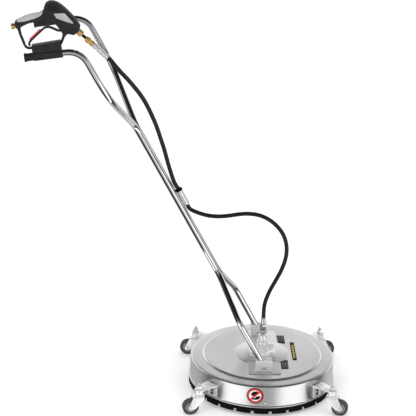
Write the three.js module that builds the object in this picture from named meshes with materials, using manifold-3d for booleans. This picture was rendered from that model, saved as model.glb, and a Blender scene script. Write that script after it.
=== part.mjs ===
// Walk-behind surface cleaner for a pressure washer, in millimetres, +Z up.
// The origin is on the floor, midway between the ends of the machine; the handle leans to -X.
import * as THREE from 'three';
import { mergeVertices } from 'three/addons/utils/BufferGeometryUtils.js';
import Module from 'manifold-3d';

const wasm = await Module();
wasm.setup();

// Driving dimensions
const GAP = 0.3;
const DISC_X = 253.37;
const WALL_RADIUS = 228.6;
const SHEET = 2;
const LIP_Z = 30;
const PANEL_Z = 108.5;
const EMBOSS_Z = 110;
const PANEL_RADIUS = 188;
const EMBOSS_RADIUS = 88;
const TAB_WIDTH = 104;
const TAB_REACH = 157;

const SKIRT_RADIUS = 232.1;
const SKIRT_BOTTOM = 11;
const SLOT_COUNT = 26;
const SLOT_WIDTH = 10.3;
const SLOT_HEIGHT = 8.6;
const SLOT_PHASE = THREE.MathUtils.degToRad(3.6);

const SHAFT_RADIUS = 6;
const SWIVEL_RADIUS = 18;
const SWIVEL_BORE = 12;
const SPRAY_Z = 52;
const SPRAY_REACH = 195;

const STEM_RADIUS = 291.1;
const WHEEL_RADIUS = 25.4;
const CASTER_TRAIL = 26.2;
const TRAIL_ANGLE = THREE.MathUtils.degToRad(10);
const TRAIL_ANGLE_REAR_RIGHT = THREE.MathUtils.degToRad(5);
const ARM_TOP = 82;
const ARM_THICKNESS = 4;

const TUBE_RADIUS = 9.5;
const TUBE_BORE = 8.3;
const HINGE_X = -3;
const HINGE_Z = 126;
const HINGE_Y = 130;
const LEAN = THREE.MathUtils.degToRad(28.9);
const CLOSE_Y = 12.5;
const SPREAD_START = 846;
const SPREAD_END = 1012;
const GRIP_Y = 192;
const GRIP_DROP = THREE.MathUtils.degToRad(8.5);
const GRIP_X = -662;
const GRIP_Z = 1135.6;
const GUIDE_OFFSET = 18.5;
const GUIDE_LOW = 547;
const GUIDE_HIGH = 597;

const HOSE_RADIUS = 6.4;
const SHELL_HALF = 13;
const GUARD_HALF = 5;
const BARREL = new THREE.Vector2(0.636, -0.771).normalize();
const BARREL_MOUTH = new THREE.Vector2(103, 49);

// Looks: colour, roughness, metalness
const LOOKS = {
  stainless: [0xc9cbcd, 0.3, 1],
  chrome: [0xdedfe0, 0.12, 1],
  brass: [0xc79a4b, 0.3, 1],
  rubber: [0x161616, 0.8, 0],
  tyre: [0x4a4b4d, 0.7, 0],
  hub: [0x9a9c9e, 0.5, 0],
  plastic: [0x2b2c2e, 0.6, 0],
  red: [0xc4302b, 0.5, 0],
};

function look(name) {
  const [color, roughness, metalness] = LOOKS[name];
  return new THREE.MeshStandardMaterial({ color, roughness, metalness });
}

// Solids -------------------------------------------------------------------

function signedVolume(positions, triangles) {
  const a = new THREE.Vector3();
  const b = new THREE.Vector3();
  const c = new THREE.Vector3();
  let volume = 0;
  for (let i = 0; i < triangles.length; i += 3) {
    a.fromArray(positions, 3 * triangles[i]);
    b.fromArray(positions, 3 * triangles[i + 1]);
    c.fromArray(positions, 3 * triangles[i + 2]);
    volume += a.dot(b.cross(c)) / 6;
  }
  return volume;
}

// A closed geometry as a solid that can be joined and cut.
function solid(geometry) {
  const bare = geometry.clone();
  bare.deleteAttribute('normal');
  bare.deleteAttribute('uv');
  const merged = mergeVertices(bare, 1e-4);
  const positions = merged.attributes.position.array;
  const index = merged.index.array;
  const triangles = [];
  for (let i = 0; i < index.length; i += 3) {
    const [a, b, c] = [index[i], index[i + 1], index[i + 2]];
    if (a !== b && b !== c && c !== a) {
      triangles.push(a, b, c);
    }
  }
  if (signedVolume(positions, triangles) < 0) {
    triangles.reverse();
  }
  return new wasm.Manifold(new wasm.Mesh({
    numProp: 3,
    vertProperties: new Float32Array(positions),
    triVerts: new Uint32Array(triangles),
  }));
}

function geometryOf(shape) {
  const mesh = shape.getMesh();
  const geometry = new THREE.BufferGeometry();
  geometry.setAttribute('position', new THREE.BufferAttribute(mesh.vertProperties, 3));
  geometry.setIndex(new THREE.BufferAttribute(mesh.triVerts, 1));
  geometry.computeVertexNormals();
  return geometry;
}

function join(first, ...rest) {
  return rest.reduce((whole, piece) => whole.add(piece), first);
}

function cut(first, ...rest) {
  return rest.reduce((whole, piece) => whole.subtract(piece), first);
}

function box(x0, x1, y0, y1, z0, z1) {
  const geometry = new THREE.BoxGeometry(x1 - x0, y1 - y0, z1 - z0);
  geometry.translate((x0 + x1) / 2, (y0 + y1) / 2, (z0 + z1) / 2);
  return solid(geometry);
}

// An upright cylinder or prism between two heights.
function column(radius, z0, z1, sides = 24, x = 0, y = 0) {
  const geometry = new THREE.CylinderGeometry(radius, radius, z1 - z0, sides);
  geometry.rotateX(Math.PI / 2);
  geometry.translate(x, y, (z0 + z1) / 2);
  return solid(geometry);
}

// A cylinder or prism along Y, centred on (x, z).
function crossRod(radius, y0, y1, sides = 16, x = 0, z = 0) {
  const geometry = new THREE.CylinderGeometry(radius, radius, y1 - y0, sides);
  geometry.translate(x, (y0 + y1) / 2, z);
  return solid(geometry);
}

// A cylinder or prism along X, centred on (y, z).
function longRod(radius, x0, x1, sides = 16, y = 0, z = 0) {
  const geometry = new THREE.CylinderGeometry(radius, radius, x1 - x0, sides);
  geometry.rotateZ(Math.PI / 2);
  geometry.translate((x0 + x1) / 2, y, z);
  return solid(geometry);
}

// A profile of [radius, height] points turned about the Z axis; it closes on itself.
function turned(profile, segments) {
  const points = profile.map(([r, z]) => new THREE.Vector2(r, z));
  if (profile[0][0] > 0) {
    points.push(points[0].clone());
  }
  const geometry = new THREE.LatheGeometry(points, segments);
  geometry.rotateX(Math.PI / 2);
  return solid(geometry);
}

function outline(points) {
  return new THREE.Shape(points.map(([x, y]) => new THREE.Vector2(x, y)));
}

// A plan outline raised from z0 to z1.
function plate(points, z0, z1) {
  const geometry = new THREE.ExtrudeGeometry(outline(points), { depth: z1 - z0, bevelEnabled: false });
  geometry.translate(0, 0, z0);
  return solid(geometry);
}

// A side outline, drawn in X and Z, between y0 and y1.
function slab(points, y0, y1) {
  const geometry = new THREE.ExtrudeGeometry(outline(points), { depth: y1 - y0, bevelEnabled: false });
  geometry.rotateX(Math.PI / 2);
  geometry.translate(0, y1, 0);
  return solid(geometry);
}

// A path through the given points that keeps each point as a section.
class PointPath extends THREE.Curve {
  constructor(points) {
    super();
    this.points = points;
  }

  getUtoTmapping(u) {
    return u;
  }

  getPoint(t, target = new THREE.Vector3()) {
    const place = Math.min(Math.max(t, 0), 1) * (this.points.length - 1);
    const start = Math.min(Math.floor(place), this.points.length - 2);
    return target.lerpVectors(this.points[start], this.points[start + 1], place - start);
  }
}

function ring(radius, sides) {
  const points = [];
  for (let i = 0; i < sides; i += 1) {
    const angle = (2 * Math.PI * (i + 0.5)) / sides;
    points.push([radius * Math.cos(angle), radius * Math.sin(angle)]);
  }
  return points;
}

function swept(section, points) {
  const extrudePath = new PointPath(points);
  const steps = points.length - 1;
  return solid(new THREE.ExtrudeGeometry(outline(section), { extrudePath, steps }));
}

// Replaces each inner corner by an arc of the given radius.
function roundedPath(corners, radii, arcSteps = 4) {
  const points = [corners[0]];
  for (let i = 1; i < corners.length - 1; i += 1) {
    const back = corners[i - 1].clone().sub(corners[i]).normalize();
    const ahead = corners[i + 1].clone().sub(corners[i]).normalize();
    const half = back.angleTo(ahead) / 2;
    const tangent = radii[i - 1] / Math.tan(half);
    const centre = back.clone().add(ahead).normalize();
    centre.multiplyScalar(radii[i - 1] / Math.sin(half)).add(corners[i]);
    const from = corners[i].clone().addScaledVector(back, tangent).sub(centre);
    const to = corners[i].clone().addScaledVector(ahead, tangent).sub(centre);
    const sweep = from.angleTo(to);
    for (let k = 0; k <= arcSteps; k += 1) {
      const share = k / arcSteps;
      const spoke = from.clone().multiplyScalar(Math.sin((1 - share) * sweep));
      spoke.addScaledVector(to, Math.sin(share * sweep)).divideScalar(Math.sin(sweep));
      points.push(spoke.add(centre));
    }
  }
  points.push(corners[corners.length - 1]);
  return points;
}

// Scene graph ----------------------------------------------------------------

const machine = new THREE.Group();
machine.position.x = DISC_X;

function addPart(group, name, shape, lookName) {
  const mesh = new THREE.Mesh(geometryOf(shape), look(lookName));
  mesh.name = name;
  group.add(mesh);
  return mesh;
}

function addGroup(parent, position, yaw = 0, pitch = 0) {
  const group = new THREE.Group();
  group.position.copy(position);
  group.rotation.set(0, pitch, yaw);
  parent.add(group);
  return group;
}

// Housing --------------------------------------------------------------------

function housingShell() {
  const outer = [
    [WALL_RADIUS - SHEET, LIP_Z], [WALL_RADIUS + 3, LIP_Z], [WALL_RADIUS + 4, LIP_Z + 2.5],
    [WALL_RADIUS + 3, LIP_Z + 5], [WALL_RADIUS, LIP_Z + 6.5], [WALL_RADIUS, 94],
    [WALL_RADIUS - 1.2, 98.5], [WALL_RADIUS - 4, 102.4], [WALL_RADIUS - 8, 103.8],
    [PANEL_RADIUS + 5, 104.5], [PANEL_RADIUS + 1.5, PANEL_Z - 1.2], [PANEL_RADIUS - 2.5, PANEL_Z],
  ];
  const inner = [
    [0, PANEL_Z - SHEET], [PANEL_RADIUS - 2.5, PANEL_Z - SHEET], [PANEL_RADIUS + 2, 102.5],
    [WALL_RADIUS - 8, 101.8], [WALL_RADIUS - 4, 99.4], [WALL_RADIUS - SHEET, 94],
  ];
  const shell = turned([[0, PANEL_Z], ...outer.reverse(), ...inner.reverse()], 72);
  const raised = column(EMBOSS_RADIUS, PANEL_Z - 1, EMBOSS_Z, 48);
  const half = TAB_WIDTH / 2;
  const chamfer = 8;
  const tabs = plate([
    [-half, -TAB_REACH + chamfer], [-half + chamfer, -TAB_REACH], [half - chamfer, -TAB_REACH],
    [half, -TAB_REACH + chamfer], [half, TAB_REACH - chamfer], [half - chamfer, TAB_REACH],
    [-half + chamfer, TAB_REACH], [-half, TAB_REACH - chamfer],
  ], PANEL_Z - 1, EMBOSS_Z);
  const throat = column(SWIVEL_RADIUS + 0.4, PANEL_Z - 8, EMBOSS_Z + 5, 32);
  return cut(join(shell, raised, tabs), throat);
}

function splashSkirt() {
  const inner = WALL_RADIUS - SHEET + 0.2;
  const wall = turned([
    [inner, SKIRT_BOTTOM], [SKIRT_RADIUS, SKIRT_BOTTOM],
    [SKIRT_RADIUS, LIP_Z - GAP], [inner, LIP_Z - GAP],
  ], 78);
  const slots = [];
  for (let i = 0; i < SLOT_COUNT / 2; i += 1) {
    const across = new THREE.BoxGeometry(2 * SKIRT_RADIUS + 10, SLOT_WIDTH, 2 * SLOT_HEIGHT);
    across.rotateZ(-Math.PI / 2 + SLOT_PHASE + (2 * Math.PI * i) / SLOT_COUNT);
    across.translate(0, 0, SKIRT_BOTTOM);
    slots.push(solid(across));
  }
  return cut(wall, ...slots);
}

function skirtBand() {
  const outer = WALL_RADIUS - SHEET - GAP;
  return turned([[outer - 3, 22], [outer, 22], [outer, 38], [outer - 3, 38]], 72);
}

function addHousing(group) {
  addPart(group, 'housing_shell', housingShell(), 'stainless');
  addPart(group, 'splash_skirt', splashSkirt(), 'rubber');
  addPart(group, 'skirt_band', skirtBand(), 'stainless');
}

// Swivel and rotor -------------------------------------------------------------

function swivelFlange() {
  const low = EMBOSS_Z + GAP;
  const high = low + 8;
  const half = 40;
  const corner = 8;
  const square = plate([
    [-half, -half + corner], [-half + corner, -half], [half - corner, -half], [half, -half + corner],
    [half, half - corner], [half - corner, half], [-half + corner, half], [-half, half - corner],
  ], low, high);
  const heads = [];
  for (const x of [-30, 30]) {
    for (const y of [-30, 30]) {
      heads.push(column(9.8, high - 1, high + 7.5, 6, x, y));
    }
  }
  return cut(join(square, ...heads), column(SWIVEL_RADIUS + 0.4, low - 5, high + 5, 32));
}

function swivelBody() {
  const body = turned([
    [0, 84], [SWIVEL_RADIUS, 84], [SWIVEL_RADIUS, 153], [14.3, 155], [14.3, 172], [12.5, 174], [0, 174],
  ], 32);
  const bore = column(SWIVEL_BORE, 80, 150, 24);
  const inlet = column(5, 140, 180, 12);
  return cut(body, bore, inlet);
}

function ringPart(inner, outer, z0, z1) {
  return turned([[inner, z0], [outer, z0], [outer, z1], [inner, z1]], 24);
}

function inletAdapter() {
  const nipple = column(7.5, 174 + GAP, 190, 16);
  const hex = column(11.3, 188, 209, 6);
  return join(nipple, hex);
}

function ferruleLow() {
  return turned([[0, 209 + GAP], [6.5, 209 + GAP], [8.3, 212], [8.3, 231], [7.6, 233], [0, 233]], 16);
}

function addSwivel(group) {
  addPart(group, 'swivel_flange', swivelFlange(), 'stainless');
  addPart(group, 'swivel_body', swivelBody(), 'stainless');
  addPart(group, 'swivel_bushing', ringPart(SHAFT_RADIUS + GAP, SWIVEL_BORE - GAP, 90, 128), 'brass');
  addPart(group, 'shaft_seal', ringPart(SHAFT_RADIUS + GAP, SWIVEL_BORE - GAP, 132, 138), 'rubber');
  addPart(group, 'inlet_adapter', inletAdapter(), 'chrome');
  addPart(group, 'hose_ferrule_lower', ferruleLow(), 'chrome');
}

function rotorShaft() {
  const shaft = column(SHAFT_RADIUS, SPRAY_Z, 144, 16);
  const hub = column(20, SPRAY_Z - 12, SPRAY_Z + 14, 16);
  return cut(join(shaft, hub), longRod(7 + GAP, -30, 30, 12, 0, SPRAY_Z));
}

function nozzle(side) {
  const start = SPRAY_REACH + GAP;
  const block = box(start, start + 15.7, -8, 8, SPRAY_Z - 14, SPRAY_Z + 8);
  const tip = column(5, SPRAY_Z - 22, SPRAY_Z - 13, 12, start + 8, 0);
  return join(block, tip).scale([side, 1, 1]);
}

function addRotor(group) {
  addPart(group, 'rotor_shaft', rotorShaft(), 'stainless');
  addPart(group, 'spray_bar', longRod(7, -SPRAY_REACH, SPRAY_REACH, 12, 0, SPRAY_Z), 'stainless');
  addPart(group, 'nozzle_left', nozzle(-1), 'brass');
  addPart(group, 'nozzle_right', nozzle(1), 'brass');
}

// Casters ----------------------------------------------------------------------

// The arm points along +X from the disc axis and ends in an eye at the stem.
function casterArm() {
  const wall = WALL_RADIUS + GAP;
  const flange = box(wall, wall + 3, -18, 18, 38, ARM_TOP);
  const points = [[wall, -22], [248, -21]];
  for (let i = 0; i <= 12; i += 1) {
    const angle = -Math.PI / 2 + (Math.PI * i) / 12;
    points.push([STEM_RADIUS + 15 * Math.cos(angle), 15 * Math.sin(angle)]);
  }
  points.push([248, 21], [wall, 22]);
  const leaf = plate(points, ARM_TOP - ARM_THICKNESS, ARM_TOP);
  const bolts = [50, 66].map((z) => longRod(5, wall + 2, wall + 6, 8, 0, z));
  const eye = column(4.4, ARM_TOP - 10, ARM_TOP + 5, 12, STEM_RADIUS, 0);
  return cut(join(flange, leaf, ...bolts), eye);
}

function casterStem() {
  const shank = column(4, 52, 102, 12);
  const rivet = column(6.5, 50.5, 56.7, 12);
  const washer = column(10, ARM_TOP + GAP, ARM_TOP + 1.8, 16);
  const nut = column(8.1, ARM_TOP + 1, ARM_TOP + 12, 6);
  const cap = column(5.2, ARM_TOP + 11, ARM_TOP + 15, 12);
  return join(shank, rivet, washer, nut, cap);
}

// The fork trails along +X from its stem, with the axle across Y.
function casterFork() {
  const crownLow = 57;
  const crown = plate([[-16, -14], [14, -14], [20, -10], [20, 10], [14, 14], [-16, 14]], crownLow, crownLow + 3);
  const race = turned([
    [0, crownLow + 1], [17, crownLow + 1], [17, 64], [13, 70], [13, ARM_TOP - ARM_THICKNESS - GAP],
    [0, ARM_TOP - ARM_THICKNESS - GAP],
  ], 20);
  const leg = [[-15, 60], [-13, 52], [14, 20]];
  for (let i = 0; i <= 8; i += 1) {
    const angle = THREE.MathUtils.degToRad(-120 + 22.5 * i);
    leg.push([CASTER_TRAIL + 8 * Math.cos(angle), WHEEL_RADIUS + 8 * Math.sin(angle)]);
  }
  leg.push([26, 48], [18, 60]);
  const near = slab(leg, -14, -11.5);
  const far = slab(leg, 11.5, 14);
  const pinHole = crossRod(3 + GAP, -20, 20, 12, CASTER_TRAIL, WHEEL_RADIUS);
  return cut(join(crown, race, near, far), column(4.5, 50, 90, 12), pinHole);
}

function casterAxle() {
  const rod = crossRod(3, -17, 17, 12, CASTER_TRAIL, WHEEL_RADIUS);
  const head = crossRod(5, -17.5, -14 - GAP, 6, CASTER_TRAIL, WHEEL_RADIUS);
  const nut = crossRod(5, 14 + GAP, 17.5, 6, CASTER_TRAIL, WHEEL_RADIUS);
  return join(rod, head, nut);
}

function wheelPiece(profile, segments) {
  const points = profile.map(([r, y]) => new THREE.Vector2(r, y));
  points.push(points[0].clone());
  const geometry = new THREE.LatheGeometry(points, segments);
  geometry.translate(CASTER_TRAIL, 0, WHEEL_RADIUS);
  return geometry;
}

// Turned about Y: a lathe's own axis already lies along Y.
function casterHub() {
  const profile = [[3 + GAP, -11], [7, -11], [7, -8], [16, -8], [16, 8], [7, 8], [7, 11], [3 + GAP, 11]];
  return solid(wheelPiece(profile, 20));
}

function casterTyre() {
  const inner = 16 + GAP;
  const profile = [
    [inner, -8.5], [22, -9.5], [24.6, -7.5], [WHEEL_RADIUS, -4], [WHEEL_RADIUS, 4], [24.6, 7.5],
    [22, 9.5], [inner, 8.5],
  ];
  return solid(wheelPiece(profile, 32));
}

// name, direction of the arm, direction in which the caster trails
const CASTERS = [
  ['front_left', 1.25 * Math.PI, Math.PI + TRAIL_ANGLE],
  ['front_right', 1.75 * Math.PI, -TRAIL_ANGLE],
  ['rear_left', 0.75 * Math.PI, Math.PI - TRAIL_ANGLE],
  ['rear_right', 0.25 * Math.PI, TRAIL_ANGLE_REAR_RIGHT],
];

function addCasters(group) {
  for (const [place, heading, trail] of CASTERS) {
    const stemX = STEM_RADIUS * Math.cos(heading);
    const stemY = STEM_RADIUS * Math.sin(heading);
    const armGroup = addGroup(group, new THREE.Vector3(), heading);
    const stemGroup = addGroup(group, new THREE.Vector3(stemX, stemY, 0), trail);
    addPart(armGroup, `caster_arm_${place}`, casterArm(), 'stainless');
    addPart(stemGroup, `caster_stem_${place}`, casterStem(), 'chrome');
    addPart(stemGroup, `caster_fork_${place}`, casterFork(), 'chrome');
    addPart(stemGroup, `caster_axle_${place}`, casterAxle(), 'chrome');
    addPart(stemGroup, `caster_hub_${place}`, casterHub(), 'hub');
    addPart(stemGroup, `caster_tyre_${place}`, casterTyre(), 'tyre');
  }
}

// Handle -------------------------------------------------------------------------

// A point in the leaning plane of the handle: along it from the hinge, and across it.
function leanPoint(along, across, off = 0) {
  return new THREE.Vector3(
    HINGE_X - along * Math.sin(LEAN) + off * Math.cos(LEAN),
    across,
    HINGE_Z + along * Math.cos(LEAN) + off * Math.sin(LEAN),
  );
}

// A point on the axis of a grip, measured from the middle of the gun clamp.
function gripPoint(along, side) {
  return new THREE.Vector3(
    GRIP_X + along * Math.cos(GRIP_DROP),
    side * GRIP_Y,
    GRIP_Z + along * Math.sin(GRIP_DROP),
  );
}

// The distance along the leaning plane at which it meets the line of the grips.
function bendDistance() {
  const slope = Math.tan(GRIP_DROP);
  const rise = GRIP_Z + (HINGE_X - GRIP_X) * slope - HINGE_Z;
  return rise / (Math.cos(LEAN) + Math.sin(LEAN) * slope);
}

function tubeCorners(side, low, gripEnd) {
  return [
    leanPoint(low, side * HINGE_Y),
    leanPoint(172, side * HINGE_Y),
    leanPoint(296, side * CLOSE_Y),
    leanPoint(SPREAD_START, side * CLOSE_Y),
    leanPoint(SPREAD_END, side * GRIP_Y),
    leanPoint(bendDistance(), side * GRIP_Y),
    gripPoint(gripEnd, side),
  ];
}

function handleTube(side) {
  const radii = [60, 60, 60, 150, 60];
  const outer = swept(ring(TUBE_RADIUS, 12), roundedPath(tubeCorners(side, -7, -62), radii));
  const bore = swept(ring(TUBE_BORE, 8), roundedPath(tubeCorners(side, -12, -58), radii));
  const hinge = leanPoint(0, side * HINGE_Y);
  const pinHole = crossRod(4.3, hinge.y - 15, hinge.y + 15, 12, hinge.x, hinge.z);
  return cut(outer, bore, pinHole);
}

// Small welded blocks on the near tube that bridge the gap to the far one.
function weldBlocks() {
  return [330, 660, 790].map((along) => {
    const block = new THREE.BoxGeometry(6, 9, 20);
    block.rotateY(-LEAN);
    const centre = leanPoint(along, -1.8);
    block.translate(centre.x, centre.y, centre.z);
    return solid(block);
  });
}

function hingeBracket(side) {
  const base = EMBOSS_Z + GAP;
  const y = side * HINGE_Y;
  const [x0, x1] = [HINGE_X - 26, HINGE_X + 26];
  const outer = box(x0, x1, y - 13.3, y + 13.3, base, 149);
  const channel = box(x0 - 5, x1 + 5, y - 10.3, y + 10.3, base + 3, 155);
  const hole = crossRod(4.3, y - 20, y + 20, 12, HINGE_X, HINGE_Z);
  return cut(outer, channel, hole);
}

function pivotBolt(side) {
  const y = side * HINGE_Y;
  const rod = crossRod(4, y - 16, y + 16, 12, HINGE_X, HINGE_Z);
  const head = crossRod(5.5, y + side * 15 - 1.4, y + side * 15 + 1.4, 12, HINGE_X, HINGE_Z);
  const nut = crossRod(6.5, y - side * 16 - 2.4, y - side * 16 + 2.4, 6, HINGE_X, HINGE_Z);
  return join(rod, head, nut);
}

function grip() {
  const bore = TUBE_RADIUS + GAP;
  const profile = [
    [0, -66], [12, -66], [13, -65], [13, -61], [11.5, -59], [11.5, 43], [10.8, 44], [bore, 44],
    [bore, -62.5], [0, -62.5],
  ];
  const geometry = new THREE.LatheGeometry(profile.map(([r, x]) => new THREE.Vector2(r, x)), 20);
  geometry.rotateZ(-Math.PI / 2);
  return solid(geometry);
}

function hoseGuide() {
  const barrel = turned([[7.5, GUIDE_LOW], [10, GUIDE_LOW], [10, GUIDE_HIGH], [7.5, GUIDE_HIGH]], 20);
  const shifted = barrel.translate([GUIDE_OFFSET, 0, 0]);
  const fin = box(-6, GUIDE_OFFSET - 8, -2, 2, GUIDE_LOW + 8, GUIDE_HIGH - 8);
  return join(shifted, fin);
}

// Gun ------------------------------------------------------------------------------

const GUN_BODY = [
  [-74, 88], [-77, 105], [-73, 110.5], [-60, 114], [-45, 119.5], [-24, 122.5], [-7, 123], [9, 128],
  [13, 141], [19, 149.5], [28, 153.5], [38, 153], [49, 148.5], [60, 140], [74, 124], [92, 99],
  [106, 72], [102, 62], [89, 52], [84, 49], [79, 51], [67, 55], [62, 51], [57, 46], [51, 48],
  [53, 56], [49, 66], [44, 75], [40, 83], [34, 91], [27, 97], [10, 101], [-35, 100], [-49, 96],
  [-59, 92], [-64, 87],
];

const GUARD = [
  [-73, 92], [-69, 67], [-62, 36], [-58, 28], [-50, 23], [40, 23], [47, 27], [58, 46], [58, 54],
  [51, 54], [50, 48], [41, 31], [37, 29], [-50, 29], [-56, 35], [-58, 50], [-63, 69], [-63, 92],
];

const TRIGGER_PIVOT = new THREE.Vector2(53, 66);

// A point on the barrel line, in the gun's X and Z.
function barrelPoint(along) {
  return BARREL_MOUTH.clone().addScaledVector(BARREL, along);
}

// A cylinder or prism on the barrel line.
function barrelRod(radius, from, to, sides) {
  const geometry = new THREE.CylinderGeometry(radius, radius, to - from, sides);
  geometry.rotateX(Math.PI / 2);
  geometry.rotateY(Math.atan2(BARREL.x, BARREL.y));
  const middle = barrelPoint((from + to) / 2);
  geometry.translate(middle.x, 0, middle.y);
  return solid(geometry);
}

function gunShell(side) {
  const [thick0, thick1] = side < 0 ? [-SHELL_HALF, -0.2] : [0.2, SHELL_HALF];
  const [thin0, thin1] = side < 0 ? [-GUARD_HALF, -0.2] : [0.2, GUARD_HALF];
  const shell = join(slab(GUN_BODY, thick0, thick1), slab(GUARD, thin0, thin1));
  const valveSeat = barrelRod(8 + GAP, -58.5, 6, 16);
  const triggerSlot = box(34, 60, -5.3, 5.3, 57, 83);
  const pinHole = crossRod(2.4, -10.4, 10.4, 10, TRIGGER_PIVOT.x, TRIGGER_PIVOT.y);
  return cut(shell, valveSeat, triggerSlot, pinHole);
}

function trigger() {
  const middle = [
    [53, 66], [39, 67.5], [27, 75], [17, 80], [5, 79.5], [-5, 73], [-39, 48], [-44.5, 43],
    [-46, 37.5], [-45, 33],
  ];
  const path = middle.map(([x, z]) => new THREE.Vector3(x, 0, z));
  const bar = swept([[-4.5, -2.8], [4.5, -2.8], [4.5, 2.8], [-4.5, 2.8]], path);
  const boss = crossRod(5, -4.5, 4.5, 16, TRIGGER_PIVOT.x, TRIGGER_PIVOT.y);
  const hole = crossRod(2.4, -8, 8, 10, TRIGGER_PIVOT.x, TRIGGER_PIVOT.y);
  return cut(join(bar, boss), hole);
}

// A flat bar that lies along the straight stretch of the trigger.
function triggerLock() {
  const bar = box(-21, 21, -3.8, 3.8, 2.8 + GAP, 6.6);
  return bar.rotate([0, -36.3, 0]).translate([-23, 0, 59.8]);
}

function gunClamp() {
  const block = slab([[-40, 6], [43, 6], [43, 37], [-40, 34]], -14, 14);
  const sleeve = longRod(13.2, -40, 43, 24);
  const gripHole = longRod(11.5 + GAP, -45, 50, 24);
  const guardSlots = [[-0.5, 0], [0.5, 0], [0, -0.5], [0, 0.5]].map(([x, z]) => {
    const points = GUARD.map(([px, pz]) => [px + x, pz + z]);
    return slab(points, -GUARD_HALF - GAP, GUARD_HALF + GAP);
  });
  return cut(join(block, sleeve), gripHole, ...guardSlots);
}

function gunOutlet() {
  return join(barrelRod(9.8, -9.8, 4, 6), barrelRod(4.5, 3, 19, 12));
}

function quickCoupler() {
  return join(barrelRod(7.3, 19.3, 47, 16), barrelRod(8.6, 37, 47, 6));
}

// The ring that slides towards the hose to release the coupler.
function couplerSleeve() {
  return cut(barrelRod(9, 24, 32, 16), barrelRod(7.3 + GAP, 20, 36, 16));
}

function ferruleHigh() {
  return join(barrelRod(8.1, 47.3, 60, 6), barrelRod(5.5, 59, 67, 12), barrelRod(8.2, 66, 103.7, 16));
}

function addGun(group) {
  addPart(group, 'gun_clamp', gunClamp(), 'plastic');
  addPart(group, 'gun_shell_near', gunShell(-1), 'plastic');
  addPart(group, 'gun_shell_far', gunShell(1), 'plastic');
  addPart(group, 'trigger', trigger(), 'plastic');
  addPart(group, 'trigger_lock', triggerLock(), 'red');
  const pin = crossRod(2, -10, 10, 10, TRIGGER_PIVOT.x, TRIGGER_PIVOT.y);
  addPart(group, 'trigger_pin', pin, 'chrome');
  addPart(group, 'gun_valve', barrelRod(8, -58, -10.5, 16), 'brass');
  addPart(group, 'gun_inlet', longRod(8.5, -88, -78.5, 16, 0, 95), 'brass');
  addPart(group, 'gun_outlet', gunOutlet(), 'brass');
  addPart(group, 'quick_coupler', quickCoupler(), 'brass');
  addPart(group, 'coupler_sleeve', couplerSleeve(), 'brass');
  addPart(group, 'hose_ferrule_upper', ferruleHigh(), 'chrome');
}

function addHandle(group) {
  const near = join(handleTube(-1), ...weldBlocks());
  addPart(group, 'handle_tube_near', near, 'chrome');
  addPart(group, 'handle_tube_far', handleTube(1), 'chrome');
  const lean = addGroup(group, new THREE.Vector3(HINGE_X, 0, HINGE_Z), 0, -LEAN);
  addPart(lean, 'hose_guide', hoseGuide(), 'chrome');
  for (const [name, side] of [['near', -1], ['far', 1]]) {
    const gripGroup = addGroup(group, gripPoint(0, side), 0, -GRIP_DROP);
    addPart(gripGroup, `grip_${name}`, grip(), 'rubber');
    addPart(group, `hinge_bracket_${name}`, hingeBracket(side), 'stainless');
    addPart(group, `pivot_bolt_${name}`, pivotBolt(side), 'chrome');
  }
  addGun(addGroup(group, gripPoint(0, -1), 0, -GRIP_DROP));
}

// Hose --------------------------------------------------------------------------------

// A hose through the given points; its first and last stretches are short and straight.
function hoseStretch(list) {
  const points = list.map(([x, y, z]) => new THREE.Vector3(x, y, z));
  const curve = new THREE.CatmullRomCurve3(points.slice(1, -1));
  const steps = Math.ceil(curve.getLength() / 32);
  return swept(ring(HOSE_RADIUS, 8), [points[0], ...curve.getSpacedPoints(steps), points[points.length - 1]]);
}

// A point on the barrel line of the gun, in the frame of the machine.
function mouthPoint(along) {
  const place = gripPoint(0, -1);
  const mouth = barrelPoint(along);
  place.x += mouth.x * Math.cos(GRIP_DROP) - mouth.y * Math.sin(GRIP_DROP);
  place.z += mouth.x * Math.sin(GRIP_DROP) + mouth.y * Math.cos(GRIP_DROP);
  return place.toArray();
}

function addHose(group) {
  const guideTop = leanPoint(GUIDE_HIGH + 8, 0, GUIDE_OFFSET);
  const guideLow = leanPoint(GUIDE_LOW - 6, 0, GUIDE_OFFSET);
  addPart(group, 'hose_upper', hoseStretch([
    mouthPoint(104), mouthPoint(112), [-470, -191.5, 1106.8], [-453.5, -189, 1087],
    [-434, -183, 1064.5], [-413.5, -174, 1037.5], [-393, -160, 1006],
    [-375.5, -142, 970], [-350.8, -108, 904.5], [-337.5, -83, 858.5],
    [-324, -56, 808.8], [-307.5, -26, 741], [-289.5, -6, 683],
    guideTop.toArray(), leanPoint(GUIDE_LOW, 0, GUIDE_OFFSET).toArray(), guideLow.toArray(),
  ]), 'rubber');
  addPart(group, 'hose_lower', hoseStretch([
    leanPoint(GUIDE_LOW - 6.4, 0, GUIDE_OFFSET).toArray(),
    leanPoint(GUIDE_LOW - 9, 0, GUIDE_OFFSET).toArray(), [-240, 0, 597], [-217, 0, 586],
    [-187, 0, 577], [-152, 0, 574], [-119, 0, 577], [-89, 0, 582], [-59, 0, 584], [-25, 0, 579],
    [5, 0, 565], [33, 0, 541], [53, 0, 511], [63, 0, 475], [62, 0, 438], [50, 0, 396], [33, 0, 359],
    [15, 0, 321], [2, 0, 279], [0, 0, 250], [0, 0, 233 + GAP],
  ]), 'rubber');
}

addHousing(machine);
addSwivel(machine);
addRotor(machine);
addCasters(machine);
addHandle(machine);
addHose(machine);

const surfaceCleaner = new THREE.Group();
surfaceCleaner.add(machine);

export default surfaceCleaner;
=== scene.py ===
"""Walk-behind surface cleaner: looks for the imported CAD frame. Local shapes are in millimetres."""
import math

import bmesh
import bpy
from mathutils import Matrix, Vector


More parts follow.
